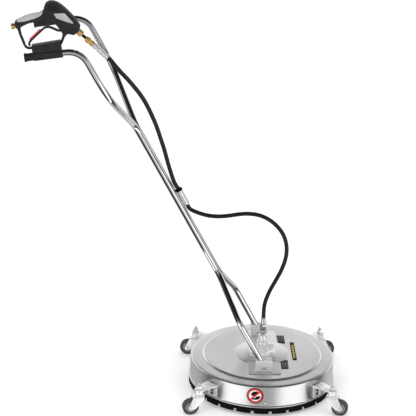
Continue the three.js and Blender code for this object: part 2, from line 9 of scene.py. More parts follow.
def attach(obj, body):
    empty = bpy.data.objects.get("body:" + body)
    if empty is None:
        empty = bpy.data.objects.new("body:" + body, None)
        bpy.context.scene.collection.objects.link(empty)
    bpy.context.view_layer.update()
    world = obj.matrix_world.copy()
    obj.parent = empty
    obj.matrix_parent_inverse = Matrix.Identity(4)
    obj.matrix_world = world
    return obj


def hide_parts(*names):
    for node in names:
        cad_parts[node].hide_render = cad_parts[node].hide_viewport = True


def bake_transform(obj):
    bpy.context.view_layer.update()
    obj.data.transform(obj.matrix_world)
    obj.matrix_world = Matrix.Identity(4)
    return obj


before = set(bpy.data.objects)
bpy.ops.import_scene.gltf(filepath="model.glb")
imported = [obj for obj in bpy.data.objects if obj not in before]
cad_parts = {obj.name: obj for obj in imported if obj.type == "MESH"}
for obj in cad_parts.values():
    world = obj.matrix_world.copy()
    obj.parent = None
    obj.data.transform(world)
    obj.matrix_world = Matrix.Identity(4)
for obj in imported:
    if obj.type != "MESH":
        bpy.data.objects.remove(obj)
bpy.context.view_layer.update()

# ------------------------------------------------------------------ frames of the machine
MM = 0.001
TAU = 2 * math.pi
DISC_X = 253.37
HINGE = Vector((-3, 0, 126))
HINGE_Y = 130
LEAN_ANGLE = math.radians(28.9)
GRIP_ANGLE = math.radians(8.5)
GRIP = Vector((-662, 192, 1135.6))
STEM_RADIUS = 291.1
CASTER_TRAIL = 26.2
WHEEL_RADIUS = 25.4
TRAIL_ANGLE = math.radians(10)
TRAIL_ANGLE_REAR_RIGHT = math.radians(5)


def shift(x=0, y=0, z=0):
    return Matrix.Translation((x, y, z))


def turn(angle, axis="Z"):
    return Matrix.Rotation(angle, 4, axis)


DISC = shift(DISC_X)
LEAN = DISC @ shift(*HINGE) @ turn(-LEAN_ANGLE, "Y")
GUN = DISC @ shift(GRIP.x, -GRIP.y, GRIP.z) @ turn(-GRIP_ANGLE, "Y")
FAR_GRIP = DISC @ shift(GRIP.x, GRIP.y, GRIP.z) @ turn(-GRIP_ANGLE, "Y")
BARREL_DIRECTION = Vector((0.636, 0, -0.771)).normalized()
# local Z of the barrel frame runs along the barrel towards the hose
BARREL_ANGLE = math.atan2(BARREL_DIRECTION.x, BARREL_DIRECTION.z)
BARREL = GUN @ shift(103, 0, 49) @ turn(BARREL_ANGLE, "Y")
CASTERS = {
    "front_left": (1.25 * math.pi, math.pi + TRAIL_ANGLE),
    "front_right": (1.75 * math.pi, -TRAIL_ANGLE),
    "rear_left": (0.75 * math.pi, math.pi - TRAIL_ANGLE),
    "rear_right": (0.25 * math.pi, TRAIL_ANGLE_REAR_RIGHT),
}


def lean_point(along, across, off=0):
    return Vector((
        HINGE.x - along * math.sin(LEAN_ANGLE) + off * math.cos(LEAN_ANGLE),
        across,
        HINGE.z + along * math.cos(LEAN_ANGLE) + off * math.sin(LEAN_ANGLE),
    ))


def barrel_point(along):
    return DISC.inverted() @ BARREL @ Vector((0, 0, along))


# ------------------------------------------------------------------ camera
camera = bpy.data.objects.new("camera", bpy.data.cameras.new("camera"))
bpy.context.scene.collection.objects.link(camera)
bpy.context.scene.camera = camera
camera.data.sensor_width = 36
camera.data.lens = 138.46
camera.data.clip_end = 100
RIGHT = Vector((0.99919, -0.03097, 0.02561))
DOWN = Vector((0.01278, -0.35948, -0.93307))
AHEAD = Vector((0.03811, 0.93264, -0.35879))
camera_turn = Matrix((RIGHT, -DOWN, -AHEAD)).transposed().to_4x4()
camera.matrix_world = Matrix.Translation((-0.12034, -4.60402, 2.37256)) @ camera_turn


# ------------------------------------------------------------------ materials
BUMP_DEPTH = 0.0002


class Nodes:
    """A small helper round a material's node tree."""

    def __init__(self, name):
        self.material = bpy.data.materials.new(name)
        self.material.use_nodes = True
        self.tree = self.material.node_tree
        self.shader = self.tree.nodes["Principled BSDF"]
        self.coords = self.tree.nodes.new("ShaderNodeTexCoord").outputs["Object"]

    def link(self, source, target):
        self.tree.links.new(source, target)

    def noise(self, scale, detail, stretch=(1, 1, 1)):
        mapping = self.tree.nodes.new("ShaderNodeMapping")
        mapping.inputs["Scale"].default_value = stretch
        noise = self.tree.nodes.new("ShaderNodeTexNoise")
        noise.inputs["Scale"].default_value = scale
        noise.inputs["Detail"].default_value = detail
        self.link(self.coords, mapping.inputs["Vector"])
        self.link(mapping.outputs["Vector"], noise.inputs["Vector"])
        return noise.outputs["Fac"]

    def spread(self, value, low, high, start=0.3, end=0.7):
        node = self.tree.nodes.new("ShaderNodeMapRange")
        node.inputs["From Min"].default_value = start
        node.inputs["From Max"].default_value = end
        node.inputs["To Min"].default_value = low
        node.inputs["To Max"].default_value = high
        self.link(value, node.inputs["Value"])
        return node.outputs["Result"]

    def mix(self, factor, one, two):
        node = self.tree.nodes.new("ShaderNodeMix")
        node.data_type = "RGBA"
        self.link(factor, node.inputs["Factor"])
        node.inputs["A"].default_value = (*one, 1)
        node.inputs["B"].default_value = (*two, 1)
        return node.outputs["Result"]

    def bump(self, height, strength):
        node = self.tree.nodes.new("ShaderNodeBump")
        node.inputs["Strength"].default_value = strength
        node.inputs["Distance"].default_value = BUMP_DEPTH
        self.link(height, node.inputs["Height"])
        self.link(node.outputs["Normal"], self.shader.inputs["Normal"])


def grey(level):
    return (level, level, level)


def metal(name, light, dark, rough, grain, scale=120, stretch=(1, 1, 1), anisotropic=0.0,
          radial=False, metallic=1.0):
    """A metal with fine grain. rough is the lowest and highest roughness."""
    n = Nodes(name)
    n.shader.inputs["Metallic"].default_value = metallic
    n.shader.inputs["Anisotropic"].default_value = anisotropic
    streaks = n.noise(scale, 4, stretch)
    patches = n.noise(9, 2)
    n.link(n.mix(n.spread(patches, 0, 1, 0.35, 0.65), dark, light), n.shader.inputs["Base Color"])
    n.link(n.spread(streaks, rough[0], rough[1]), n.shader.inputs["Roughness"])
    n.bump(streaks, grain)
    if radial:
        tangent = n.tree.nodes.new("ShaderNodeTangent")
        tangent.direction_type = "RADIAL"
        tangent.axis = "Z"
        n.link(tangent.outputs["Tangent"], n.shader.inputs["Tangent"])
        n.shader.inputs["Anisotropic Rotation"].default_value = 0.25
    return n.material


def moulded(name, light, dark, rough, scale, bump, specular=0.4):
    """Moulded rubber, plastic or printed film with a fine speckle and larger scuffs."""
    n = Nodes(name)
    n.shader.inputs["Specular IOR Level"].default_value = specular
    speckle = n.noise(scale, 2)
    scuffs = n.noise(45, 5)
    n.link(n.mix(n.spread(scuffs, 0, 1, 0.4, 0.7), dark, light), n.shader.inputs["Base Color"])
    n.link(n.spread(scuffs, rough[0], rough[1]), n.shader.inputs["Roughness"])
    n.bump(speckle, bump)
    return n.material


STEEL_PANEL = metal("steel_panel", grey(0.92), grey(0.84), (0.28, 0.38), 0.06, 40, (1, 30, 1))
STEEL_WALL = metal("steel_wall", grey(0.86), grey(0.8), (0.3, 0.36), 0.04, 40, (1, 1, 40),
                   anisotropic=0.8, radial=True)
STEEL_PART = metal("steel_part", grey(0.93), grey(0.84), (0.2, 0.32), 0.015, metallic=0.45)
CHROME = metal("chrome", grey(0.95), (0.9, 0.9, 0.91), (0.04, 0.08), 0.01)
SATIN = metal("satin_plating", grey(0.92), grey(0.82), (0.2, 0.34), 0.012, metallic=0.75)
BRASS = metal("brass", (0.95, 0.62, 0.25), (0.84, 0.52, 0.18), (0.2, 0.32), 0.015, metallic=0.8)
RUBBER = moulded("black_rubber", grey(0.005), grey(0.003), (0.55, 0.7), 700, 0.2, 0.08)
HOSE_COVER = moulded("hose_cover", grey(0.013), grey(0.008), (0.36, 0.5), 900, 0.12, 0.3)
TYRE = moulded("tyre_rubber", (0.075, 0.075, 0.078), (0.05, 0.05, 0.052), (0.6, 0.75),
               500, 0.25, 0.3)
HUB = moulded("hub_plastic", (0.34, 0.34, 0.35), (0.27, 0.27, 0.28), (0.35, 0.5), 500, 0.15)
GUN_BLACK = moulded("gun_plastic", (0.02, 0.02, 0.021), (0.013, 0.013, 0.014), (0.42, 0.58),
                    1100, 0.35, 0.3)
GRIP_BLACK = moulded("grip_rubber", (0.02, 0.02, 0.021), (0.013, 0.013, 0.014), (0.5, 0.65),
                     900, 0.3, 0.25)
INLAY = moulded("grey_inlay", grey(0.42), grey(0.35), (0.4, 0.55), 1400, 0.5)
RED = moulded("red_latch", (0.78, 0.075, 0.065), (0.68, 0.055, 0.05), (0.3, 0.42), 600, 0.1)
LABEL_BLACK = moulded("label_black", grey(0.006), grey(0.004), (0.35, 0.45), 300, 0.03, 0.12)
LABEL_GREY = moulded("label_grey", grey(0.2), grey(0.16), (0.35, 0.45), 300, 0.03)
LABEL_YELLOW = moulded("label_yellow", (0.8, 0.6, 0.02), (0.75, 0.55, 0.02), (0.3, 0.4), 300, 0.03)
LABEL_RED = moulded("label_red", (0.62, 0.02, 0.02), (0.55, 0.015, 0.015), (0.3, 0.4), 300, 0.03)
LABEL_WHITE = moulded("label_white", grey(0.85), grey(0.8), (0.35, 0.45), 300, 0.03)


# ------------------------------------------------------------------ shapes: (points, faces)
def turned(profile, segments=96, closed=False):
    """Turns (radius, height) points about Z."""
    points, rings = [], []
    for radius, height in profile:
        if radius < 1e-6:
            rings.append([len(points)] * segments)
            points.append((0, 0, height))
        else:
            rings.append(list(range(len(points), len(points) + segments)))
            for i in range(segments):
                angle = TAU * i / segments
                points.append((radius * math.cos(angle), radius * math.sin(angle), height))
    pairs = list(zip(rings, rings[1:]))
    if closed:
        pairs.append((rings[-1], rings[0]))
    faces = []
    for low, high in pairs:
        for i in range(segments):
            k = (i + 1) % segments
            face = []
            for vertex in (low[i], low[k], high[k], high[i]):
                if vertex not in face:
                    face.append(vertex)
            if len(face) > 2:
                faces.append(face)
    return points, faces


def rod(radius, low, high, edge=0.6, segments=48):
    """A cylinder along Z with rounded edges."""
    soft = edge * 0.3
    return turned([
        (0, low), (radius - edge, low), (radius - soft, low + soft), (radius, low + edge),
        (radius, high - edge), (radius - soft, high - soft), (radius - edge, high), (0, high),
    ], segments)


def ring(inner, outer, low, high, edge=0.5, segments=64):
    return turned([
        (inner, low + edge), (inner + edge, low), (outer - edge, low), (outer, low + edge),
        (outer, high - edge), (outer - edge, high), (inner + edge, high), (inner, high - edge),
    ], segments, True)


def hexagon(radius, low, high, spin=0.0):
    """A hexagon nut or head along Z whose corners are turned off at both ends."""
    points, faces, rings = [], [], []
    steps = 8
    inner = radius * math.cos(TAU / 12)
    for share, height in ((0, low), (1, low), (2, low), (2, high), (1, high), (0, high)):
        members = []
        for i in range(6 * steps):
            angle = TAU * i / (6 * steps)
            local = (angle % (TAU / 6)) - TAU / 12
            flat = inner / math.cos(local)
            reach = (0.0, min(flat, inner * 0.98), flat)[share]
            drop = 0
            if share == 2:
                drop = (flat - inner * 0.98) * 0.45 + radius * 0.012
            z = height + (drop if height == low else -drop)
            members.append(len(points))
            points.append((reach * math.cos(angle + spin), reach * math.sin(angle + spin), z))
        rings.append(members)
    for low_ring, high_ring in zip(rings, rings[1:]):
        for i in range(6 * steps):
            k = (i + 1) % (6 * steps)
            faces.append([low_ring[i], low_ring[k], high_ring[k], high_ring[i]])
    return points, faces


def swept(path, section):
    """A bar along a list of points, its section carried along without twist."""
    path = [Vector(p) for p in path]
    tangents = []
    for i in range(len(path)):
        before = path[max(i - 1, 0)]
        after = path[min(i + 1, len(path) - 1)]
        tangents.append((after - before).normalized())
    side = tangents[0].orthogonal().normalized()
    if abs(tangents[0].y) < 0.9:
        side = Vector((0, 1, 0)) - tangents[0] * tangents[0].y
        side.normalize()
    points, faces = [], []
    count = len(section)
    for centre, tangent in zip(path, tangents):
        side = (side - tangent * side.dot(tangent)).normalized()
        up = tangent.cross(side)
        for a, b in section:
            points.append(tuple(centre + side * a + up * b))
    for i in range(len(path) - 1):
        for k in range(count):
            m = (k + 1) % count
            faces.append([i * count + k, i * count + m, (i + 1) * count + m, (i + 1) * count + k])
    faces.append(list(range(count))[::-1])
    faces.append(list(range((len(path) - 1) * count, len(path) * count)))
    return points, faces


def slab(outlines, low, high, bevel=0.5, rounds=3):
    """A flat plate in X and Y with rounded edges. Outlines after the first cut holes."""
    curve = bpy.data.curves.new("outline", "CURVE")
    curve.dimensions = "2D"
    curve.fill_mode = "BOTH"
    curve.extrude = (high - low) / 2 - bevel
    curve.bevel_depth = bevel
    curve.bevel_resolution = rounds
    curve.offset = -bevel
    for outline in outlines:
        spline = curve.splines.new("POLY")
        spline.points.add(len(outline) - 1)
        spline.use_cyclic_u = True
        for point, (x, y) in zip(spline.points, outline):
            point.co = (x, y, 0, 1)
    holder = bpy.data.objects.new("outline", curve)
    bpy.context.scene.collection.objects.link(holder)
    mesh = bpy.data.meshes.new_from_object(holder)
    points = [(v.co.x, v.co.y, v.co.z + (low + high) / 2) for v in mesh.vertices]
    faces = [list(p.vertices) for p in mesh.polygons]
    bpy.data.objects.remove(holder)
    bpy.data.curves.remove(curve)
    bpy.data.meshes.remove(mesh)
    return points, faces


def moved(shape, matrix):
    points, faces = shape
    if matrix.determinant() < 0:
        faces = [face[::-1] for face in faces]
    return [tuple(matrix @ Vector(p)) for p in points], faces


def joined(*shapes):
    points, faces = [], []
    for some_points, some_faces in shapes:
        start = len(points)
        points.extend(some_points)
        faces.extend([[v + start for v in face] for face in some_faces])
    return points, faces


def block(x0, x1, y0, y1, z0, z1, bevel=0.8):
    corner = bevel * 1.5
    outline = rounded([(x0, y0), (x1, y0), (x1, y1), (x0, y1)], corner, 3)
    return slab([outline], z0, z1, bevel)


def rounded(outline, radius, steps=4):
    """Rounds each corner of a closed outline by about radius."""
    result = []
    count = len(outline)
    for i in range(count):
        corner = Vector(outline[i])
        back = Vector(outline[i - 1]) - corner
        ahead = Vector(outline[(i + 1) % count]) - corner
        size = radius[i] if isinstance(radius, list) else radius
        reach = min(size, back.length * 0.45, ahead.length * 0.45)
        start = corner + back.normalized() * reach
        end = corner + ahead.normalized() * reach
        for k in range(steps + 1):
            t = k / steps
            result.append(tuple(start * (1 - t) ** 2 + corner * 2 * t * (1 - t) + end * t * t))
    return result


def circle(radius, x=0.0, y=0.0, steps=48):
    return [(x + radius * math.cos(TAU * i / steps), y + radius * math.sin(TAU * i / steps))
            for i in range(steps)]


def smooth_path(points, step):
    """A centripetal spline through the points, sampled about every step."""
    points = [Vector(p) for p in points]
    padded = [points[0] * 2 - points[1]] + points + [points[-1] * 2 - points[-2]]
    result = [points[0]]
    for a, b, c, d in zip(padded, padded[1:], padded[2:], padded[3:]):
        t1 = (b - a).length ** 0.5
        t2 = t1 + (c - b).length ** 0.5
        t3 = t2 + (d - c).length ** 0.5
        pieces = max(1, round((c - b).length / step))
        for k in range(1, pieces + 1):
            t = t1 + (t2 - t1) * k / pieces
            ab = a * ((t1 - t) / t1) + b * (t / t1)
            bc = b * ((t2 - t) / (t2 - t1)) + c * ((t - t1) / (t2 - t1))
            cd = c * ((t3 - t) / (t3 - t2)) + d * ((t - t2) / (t3 - t2))
            abc = ab * ((t2 - t) / t2) + bc * (t / t2)
            bcd = bc * ((t3 - t) / (t3 - t1)) + cd * ((t - t1) / (t3 - t1))
            result.append(abc * ((t2 - t) / (t2 - t1)) + bcd * ((t - t1) / (t2 - t1)))
    return result


def bent_path(corners, radii, steps=14):
    """Straight runs joined by arcs."""
    path = [corners[0]]
    for before, corner, after, radius in zip(corners, corners[1:], corners[2:], radii):
        back = (before - corner).normalized()
        ahead = (after - corner).normalized()
        half = back.angle(ahead) / 2
        tangent = radius / math.tan(half)
        centre = corner + (back + ahead).normalized() * (radius / math.sin(half))
        start = corner + back * tangent - centre
        end = corner + ahead * tangent - centre
        sweep = start.angle(end)
        for k in range(steps + 1):
            t = k / steps
            spoke = start * math.sin((1 - t) * sweep) + end * math.sin(t * sweep)
            path.append(centre + spoke / math.sin(sweep))
    path.append(corners[-1])
    dense = [path[0]]
    for start, end in zip(path, path[1:]):
        pieces = max(1, round((end - start).length / 30))
        dense.extend(start.lerp(end, k / pieces) for k in range(1, pieces + 1))
    return dense


def add(name, shape, look, body, matrix=DISC, replaces=(), bevel=0.0, angle=34):
    """Makes a piece from a local shape in millimetres and hangs it on its body."""
    points, faces = moved(shape, matrix)
    mesh = bpy.data.meshes.new(name)
    mesh.from_pydata([Vector(p) * MM for p in points], [], faces)
    work = bmesh.new()
    work.from_mesh(mesh)
    bmesh.ops.remove_doubles(work, verts=work.verts, dist=1e-6)
    bmesh.ops.recalc_face_normals(work, faces=work.faces)
    work.to_mesh(mesh)
    work.free()
    mesh.shade_smooth()
    mesh.set_sharp_from_angle(angle=math.radians(angle))
    mesh.materials.append(look)
    piece = bpy.data.objects.new(name, mesh)
    bpy.context.scene.collection.objects.link(piece)
    if bevel:
        modifier = piece.modifiers.new("edges", "BEVEL")
        modifier.width = bevel * MM
        modifier.segments = 3
        modifier.limit_method = "ANGLE"
        modifier.angle_limit = math.radians(40)
    if body:
        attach(piece, body)
    if replaces:
        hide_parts(*replaces)
    return piece


# ------------------------------------------------------------------ hose
HOSE_RADIUS = 6.4
HOSE_STEP = 6
GUIDE_OFFSET = 18.5
GUIDE_LOW = 547
GUIDE_HIGH = 597

upper_route = [
    barrel_point(104), barrel_point(112), (-470, -191.5, 1106.8), (-453.5, -189, 1087),
    (-434, -183, 1064.5), (-413.5, -174, 1037.5), (-393, -160, 1006), (-375.5, -142, 970),
    (-350.8, -108, 904.5), (-337.5, -83, 858.5), (-324, -56, 808.8), (-307.5, -26, 741),
    (-289.5, -6, 683),
    lean_point(GUIDE_HIGH + 8, 0, GUIDE_OFFSET),
    lean_point(GUIDE_LOW, 0, GUIDE_OFFSET), lean_point(GUIDE_LOW - 6, 0, GUIDE_OFFSET),
]
lower_route = [
    lean_point(GUIDE_LOW - 6.4, 0, GUIDE_OFFSET), lean_point(GUIDE_LOW - 9, 0, GUIDE_OFFSET),
    (-240, 0, 597), (-217, 0, 586), (-187, 0, 577), (-152, 0, 574), (-119, 0, 577),
    (-89, 0, 582), (-59, 0, 584), (-25, 0, 579), (5, 0, 565), (33, 0, 541), (53, 0, 511),
    (63, 0, 475), (62, 0, 438), (50, 0, 396), (33, 0, 359), (15, 0, 321), (2, 0, 279),
    (0, 0, 250), (0, 0, 233.3),
]


def hose(name, route, node, body):
    path = smooth_path(route, HOSE_STEP)
    tube = swept(path, circle(HOSE_RADIUS, steps=32))
    piece = add(name, tube, HOSE_COVER, body, replaces=(node,))
    return piece


hose("hose_run_upper", upper_route, "hose_upper", "handle")
hose_down = hose("hose_run_lower", lower_route, "hose_lower", None)
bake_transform(hose_down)


# ------------------------------------------------------------------ housing
WALL = 228.6
PANEL_TOP = 108.5
EMBOSS_RADIUS = 88
EMBOSS_TOP = 110
EMBOSS_TAB = 52
SKIRT_OUTER = 232.1
SKIRT_STEPS = 10


def arc(centre_r, centre_z, radius, start, end, steps):
    """Profile points of an arc, angles in degrees from +R towards +Z."""
    angles = [math.radians(start + (end - start) * k / steps) for k in range(steps + 1)]
    return [(centre_r + radius * math.cos(a), centre_z + radius * math.sin(a)) for a in angles]


housing_profile = (
    [(0, PANEL_TOP), (60, PANEL_TOP), (120, PANEL_TOP), (184, PANEL_TOP)]
    + arc(184.5, 105.5, 3, 90, 40, 4) + arc(190.6, 108.9, 4.6, 214, 268, 4)
    + [(194, 104.3), (210, 104.0), (218, 103.9)]
    + arc(WALL - 5.5, 98.2, 5.5, 88, 0, 8)
    + [(WALL, 90), (WALL, 70), (WALL, 50), (WALL, 40), (WALL, 37.6)]
    + arc(WALL + 1.9, 33.6, 2.6, 120, -60, 8)
    + [(WALL, 30), (WALL - 2, 30.6), (WALL - 2, 94), (219, 101.6), (190, 102)]
    + [(182, 106.3), (0, 106.3)]
)
housing = add("housing", turned(housing_profile, 192), STEEL_PANEL, "base",
              replaces=("housing_shell",), angle=40)
housing.data.materials.append(STEEL_WALL)
for face in housing.data.polygons:
    from_axis = math.hypot(face.center.x - DISC_X * MM, face.center.y) / MM
    if from_axis > WALL - 0.5 and 39 < face.center.z / MM < 97:
        face.material_index = 1

emboss = [p for p in circle(EMBOSS_RADIUS, steps=96) if abs(p[0]) > EMBOSS_TAB - 1e-6]
right_side = sorted([p for p in emboss if p[0] > 0], key=lambda p: p[1])
left_side = sorted([p for p in emboss if p[0] < 0], key=lambda p: -p[1])
tab_high = [(EMBOSS_TAB, 71), (EMBOSS_TAB, 149), (44, 157), (-44, 157), (-EMBOSS_TAB, 149),
            (-EMBOSS_TAB, 71)]
tab_low = [(-x, -y) for x, y in tab_high]
emboss_outline = right_side + tab_high + left_side + tab_low
add("housing_emboss", slab([emboss_outline], 106.5, EMBOSS_TOP, 1.6, 4), STEEL_PANEL, "base")

skirt_inner = WALL - 1.8
skirt = [ring(skirt_inner, SKIRT_OUTER, 19.6, 29.7, 0.6, 192)]
SLOT_COUNT = 26
slot_half = 5.15 / 229.5
pitch = TAU / SLOT_COUNT
for index in range(SLOT_COUNT):
    start = -math.pi / 2 + math.radians(3.6) + index * pitch + slot_half
    end = start + pitch - 2 * slot_half
    lug_points, lug_faces = [], []
    for k in range(SKIRT_STEPS + 1):
        angle = start + (end - start) * k / SKIRT_STEPS
        for radius, height in ((skirt_inner, 11), (SKIRT_OUTER, 11), (SKIRT_OUTER, 20.2),
                               (skirt_inner, 20.2)):
            lug_points.append((radius * math.cos(angle), radius * math.sin(angle), height))
    for k in range(SKIRT_STEPS):
        for m in range(4):
            n = (m + 1) % 4
            lug_faces.append([4 * k + m, 4 * k + n, 4 * k + 4 + n, 4 * k + 4 + m])
    lug_faces.append([3, 2, 1, 0])
    lug_faces.append([4 * SKIRT_STEPS + m for m in range(4)])
    skirt.append((lug_points, lug_faces))
add("skirt", joined(*skirt), RUBBER, "base", replaces=("splash_skirt",), bevel=0.5)
add("skirt_ring", ring(223.3, 226.3, 22, 38, 0.5, 128), SATIN, "base",
    replaces=("skirt_band",))

# ------------------------------------------------------------------ swivel
flange_outline = rounded([(-40, -40), (40, -40), (40, 40), (-40, 40)], 10, 6)
flange = [slab([flange_outline, circle(18.4)[::-1]], 110.3, 118.3, 1)]
for x in (-30, 30):
    for y in (-30, 30):
        flange.append(moved(rod(10.5, 118.2, 119.8), shift(x, y)))
        flange.append(moved(hexagon(9.8, 119.8, 125.8, 0.4), shift(x, y)))
add("flange", joined(*flange), STEEL_PART, "base", replaces=("swivel_flange",))
add("swivel", turned([
    (12, 84), (16.5, 84), (18, 85.5), (18, 128), (17.3, 128.8), (17.3, 130.2), (18, 131),
    (18, 151), (17.2, 152.6), (14.6, 154.2), (14.3, 155), (14.3, 171), (13.4, 173), (12, 174),
    (5, 174), (5, 150), (12, 150),
], 64, True), STEEL_PART, "base", replaces=("swivel_body",))
inlet = joined(rod(7.5, 174.3, 190), hexagon(11.3, 188, 209, 0.2), rod(9.6, 186.6, 188.2, 0.4))
add("inlet", inlet, CHROME, "base", replaces=("inlet_adapter",))


def crimped(low, high, radius=8.3):
    """A hose ferrule: a sleeve pressed into shallow ridges."""
    profile = [(0, low), (radius - 1.6, low), (radius - 0.4, low + 0.8), (radius, low + 2)]
    ridges = 5
    size = (high - low - 6) / ridges
    for k in range(ridges):
        start = low + 2.5 + (high - low - 6) * k / ridges
        profile += [(radius, start), (radius, start + size * 0.55),
                    (radius - 0.5, start + size * 0.7), (radius - 0.5, start + size * 0.85)]
    profile += [(radius, high - 3), (radius, high - 1), (radius - 0.8, high), (0, high)]
    return turned(profile, 48)


add("ferrule_low", crimped(209.3, 233), SATIN, "base", replaces=("hose_ferrule_lower",))

BRACKET_HALF = 26
BRACKET_SIDE = 13.3
BRACKET_SHEET = 3
side_outline = rounded([(-BRACKET_HALF, 0), (BRACKET_HALF, 0), (BRACKET_HALF, 36.8),
                        (-BRACKET_HALF, 36.8)], [1, 1, 3, 3], 3)
bracket_side = moved(slab([side_outline], 0, BRACKET_SHEET, 0.5), turn(math.pi / 2, "X"))
for side, place in ((-1, "near"), (1, "far")):
    y = side * HINGE_Y
    channel = joined(
        block(HINGE.x - BRACKET_HALF, HINGE.x + BRACKET_HALF, y - BRACKET_SIDE, y + BRACKET_SIDE,
              110.3, 113.3, 0.5),
        moved(bracket_side, shift(HINGE.x, y - BRACKET_SIDE + BRACKET_SHEET, 112)),
        moved(bracket_side, shift(HINGE.x, y + BRACKET_SIDE, 112)),
    )
    add(f"bracket_{place}", channel, STEEL_PART, "base",
        replaces=(f"hinge_bracket_{place}",))
    along_y = shift(HINGE.x, y, HINGE.z) @ turn(-math.pi / 2, "X")
    head, nut = side * 15, -side * 16
    bolt = joined(
        rod(4, -16, 16), ring(2.6, 5.5, head - 1.4, head + 1.4), rod(3.4, head - 1.2, head + 0.6),
        hexagon(6.5, nut - 2.2, nut + 2.2),
    )
    add(f"pivot_{place}", bolt, SATIN, "base", DISC @ along_y,
        replaces=(f"pivot_bolt_{place}",))

# ------------------------------------------------------------------ rotor and seals, kept from the frame
KEPT = {
    "rotor_shaft": STEEL_PART, "nozzle_left": BRASS, "nozzle_right": BRASS,
    "swivel_bushing": BRASS, "shaft_seal": RUBBER, "gun_valve": BRASS,
}
for node, look in KEPT.items():
    node_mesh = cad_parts[node].data
    node_mesh.materials.clear()
    node_mesh.materials.append(look)
bar = moved(rod(7, -195, 195, 0.8, 40), shift(0, 0, 52) @ turn(math.pi / 2, "Y"))
add("spray_tube", bar, STEEL_PART, "rotor", replaces=("spray_bar",))

# ------------------------------------------------------------------ casters
EYE_RADIUS = 15
FORK_EYE = 8
wall = WALL + 0.3
eye_angles = [-math.pi / 2 + math.pi * k / 16 for k in range(17)]
eye = [(STEM_RADIUS + EYE_RADIUS * math.cos(a), EYE_RADIUS * math.sin(a)) for a in eye_angles]
plate_outline = rounded([(38, -18), (82, -18), (82, 18), (38, 18)], 2.5, 3)
# the plate is drawn with X up the wall; this stands it against the wall, its thickness outwards
against_wall = Matrix(((0, 0, 1, wall), (0, 1, 0, 0), (1, 0, 0, 0), (0, 0, 0, 1)))
leg = [(-15, 60), (-14, 51), (12, 22)]
leg += arc(CASTER_TRAIL, WHEEL_RADIUS, FORK_EYE, -130, 60, 19)
leg += [(25, 48), (19, 60)]
tyre_profile = ([(16.3, -8.4), (21.5, -9.4)] + arc(22.6, -6.4, 2.9, -95, -8, 5)
                + arc(22.6, 6.4, 2.9, 8, 95, 5) + [(21.5, 9.4), (16.3, 8.4)])
hub_profile = [(3.3, -11), (6.6, -11), (7.2, -10.4), (7.2, -6.5), (9, -5.4), (13.2, -5.4),
               (14.2, -7.6), (15.9, -8.2), (15.9, 8.2), (14.2, 7.6), (13.2, 5.4), (9, 5.4),
               (7.2, 6.5), (7.2, 10.4), (6.6, 11), (3.3, 11)]
for place, (heading, trail) in CASTERS.items():
    arm = DISC @ turn(heading)
    leaf = slab([[(wall, -22), (248, -21)] + eye + [(248, 21), (wall, 22)],
                 circle(4.4, STEM_RADIUS, 0)[::-1]], 78, 82, 0.6)
    flange_plate = moved(slab([plate_outline], 0, 3, 0.5), against_wall)
    lip = moved(rod(2.2, -21, 21, 0.5, 24),
                shift(wall + 2.2, 0, 79.8) @ turn(math.pi / 2, "X"))
    add(f"arm_{place}", joined(leaf, flange_plate, lip), STEEL_PART, "base", arm,
        replaces=(f"caster_arm_{place}",))
    heads = [moved(joined(rod(5, 0, 2.6, 0.9, 32), hexagon(2.6, 1.6, 2.7)),
                   shift(wall + 3, 0, z) @ turn(math.pi / 2, "Y")) for z in (48.5, 61.5)]
    add(f"arm_bolts_{place}", joined(*heads), GUN_BLACK, "base", arm)

    stem = DISC @ turn(heading) @ shift(STEM_RADIUS) @ turn(-heading) @ turn(trail)
    stack = joined(
        rod(4, 52, 101.5, 0.8), rod(6.5, 50.5, 56.7, 1.5), rod(10, 82.3, 83.8, 0.3),
        hexagon(8.1, 83.8, 92.4, 0.3),
        turned([(0, 92), (6.6, 92), (6.4, 94.5), (5.4, 96.6), (4.2, 97.4), (0, 97.4)], 40),
    )
    add(f"stem_{place}", stack, SATIN, "base", stem, replaces=(f"caster_stem_{place}",))

    legs = [moved(slab([leg, circle(3.3, CASTER_TRAIL, WHEEL_RADIUS, 24)[::-1]], 0, 2.5, 0.5),
                  shift(0, y, 0) @ turn(math.pi / 2, "X")) for y in (-11.5, 14)]
    crown = slab([rounded([(-16, -14), (16, -14), (21, -9), (21, 9), (16, 14), (-16, 14)], 3, 3),
                  circle(4.5, steps=32)[::-1]], 57, 60, 0.7)
    race = turned([
        (4.5, 60), (17, 60), (17.4, 60.8), (17.4, 62.6), (16.4, 64), (14.2, 66), (13.2, 69),
        (13, 72), (13.6, 73), (13.6, 76.6), (13, 77.6), (4.5, 77.6),
    ], 64, True)
    add(f"fork_{place}", joined(*legs, crown, race), STEEL_PART, f"caster_{place}", stem,
        replaces=(f"caster_fork_{place}",))
    axle = stem @ shift(CASTER_TRAIL, 0, WHEEL_RADIUS) @ turn(-math.pi / 2, "X")
    axle_bolt = joined(rod(3, -17, 17), hexagon(5, 14.3, 17.5), hexagon(5, -17.5, -14.3))
    add(f"axle_{place}", axle_bolt, SATIN, f"caster_{place}", axle,
        replaces=(f"caster_axle_{place}",))
    add(f"tyre_{place}", turned(tyre_profile, 96, True), TYRE, f"wheel_{place}", axle,
        replaces=(f"caster_tyre_{place}",))
    ribs = [moved(block(7, 14, -1, 1, -7.2, 7.2, 0.4), turn(TAU * k / 6)) for k in range(6)]
    hub = joined(turned(hub_profile, 72, True), *ribs)
    add(f"hub_{place}", hub, HUB, f"wheel_{place}", axle,
        replaces=(f"caster_hub_{place}",))

